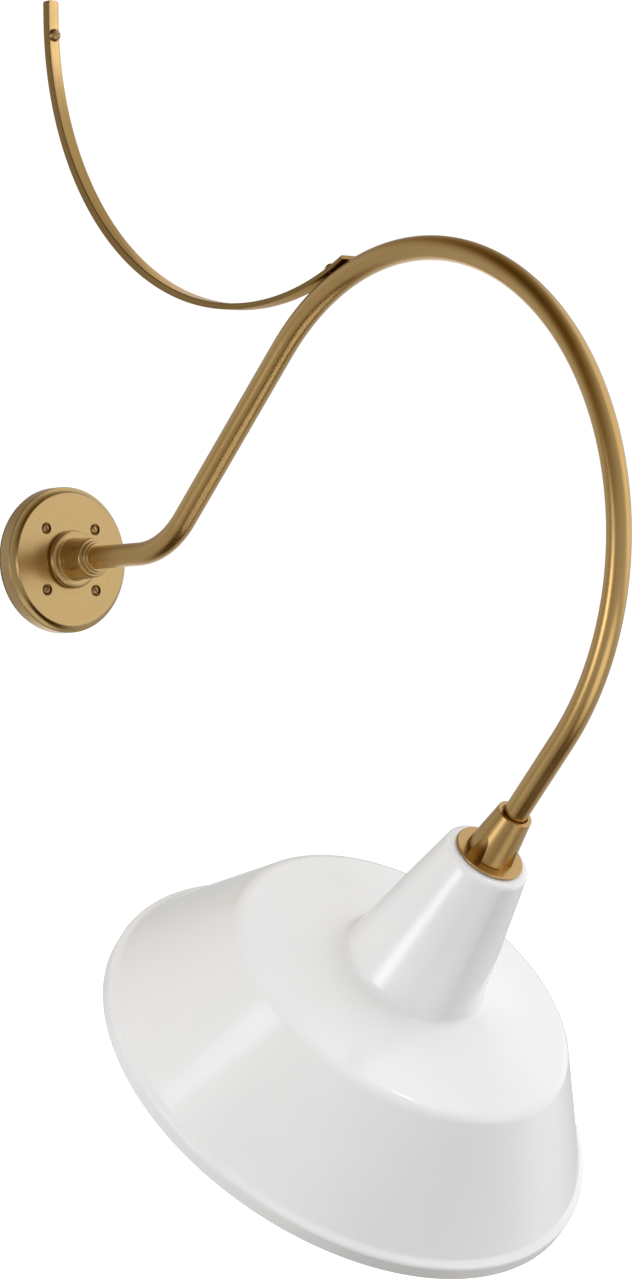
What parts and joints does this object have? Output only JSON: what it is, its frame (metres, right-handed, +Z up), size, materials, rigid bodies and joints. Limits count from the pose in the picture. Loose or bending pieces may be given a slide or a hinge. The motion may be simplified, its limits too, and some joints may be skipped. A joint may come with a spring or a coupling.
{
  "type": "picture light",
  "caption": "Wall-mounted gooseneck picture light: brass tube arm with round wall plate and curved strap brace, stepped cone enamel shade tilted towards the wall, screw-in lamp.",
  "frame": {"origin": "on the wall surface, at the centre of the round wall plate", "axes": "+X out of the wall, +Y along the wall, +Z up; the arm, the strap and the shade's axis lie in the XZ plane"},
  "size_m": [0.751, 0.432, 1.0845],
  "materials": {
    "satin_brass": "satin, brushed along the arm",
    "strap_brass": "satin, brushed along its length",
    "screw_brass": "aged satin",
    "shell_brass": "bright",
    "plated_steel": "zinc plated",
    "black_rubber": "matte",
    "cable_sheath": "matte",
    "black_wire": "matte",
    "white_wire": "matte",
    "green_wire": "matte",
    "orange_plastic": "matte",
    "green_screw": "dyed",
    "white_enamel": "gloss vitreous enamel",
    "porcelain": null,
    "clear_glass": "clear",
    "black_glass": "black glass insulator",
    "solder": "solder",
    "filament": "phosphor-coated filament sticks"
  },
  "bodies": {
    "wall_arm": {"wall_plate": "satin_brass", "wall_gasket": "black_rubber", "plate_screws": "screw_brass", "arm_collar": "satin_brass", "collar_set_screw": "plated_steel", "arm_tube": "satin_brass", "arm_lock_nut": "plated_steel", "cable_grommet": "black_rubber", "supply_cable": "cable_sheath", "line_lead": "black_wire", "neutral_lead": "white_wire", "earth_lead": "green_wire", "wire_connectors": "orange_plastic", "earth_screw": "green_screw", "brace_strap": "strap_brass", "brace_wall_screw": "screw_brass", "brace_arm_screw": "screw_brass", "brace_insert": "plated_steel"},
    "head": {"fitter_cap": "satin_brass", "cap_set_screw": "plated_steel", "neck_disc": "satin_brass", "neck_gasket": "black_rubber", "shade": "white_enamel", "backing_washer": "plated_steel", "threaded_nipple": "screw_brass", "nipple_lock_nut": "plated_steel", "holder_strap": "plated_steel", "strap_nut": "plated_steel", "holder_screws": "plated_steel", "holder_body": "porcelain", "screw_shell": "shell_brass", "centre_contact": "shell_brass", "terminal_screws": "screw_brass", "head_cable": "cable_sheath", "line_tail": "black_wire", "neutral_tail": "white_wire"},
    "bulb": {"bulb_glass": "clear_glass", "bulb_base": "plated_steel", "bulb_insulator": "black_glass", "bulb_contact": "solder", "bulb_stem": "clear_glass", "bulb_filaments": "filament"}
  },
  "joints": [
    {"name": "head_turn", "type": "hinge", "parent": "wall_arm", "child": "head", "pos_m": [0.56896, 0, -0.24516], "axis": [0.7071, 0, 0.7071], "range_deg": [-170, 170]},
    {"name": "bulb_unscrew", "type": "hinge", "parent": "head", "child": "bulb", "pos_m": [0.56896, 0, -0.24516], "axis": [-0.7071, 0, -0.7071], "range_deg": [0, 900]}
  ]
}
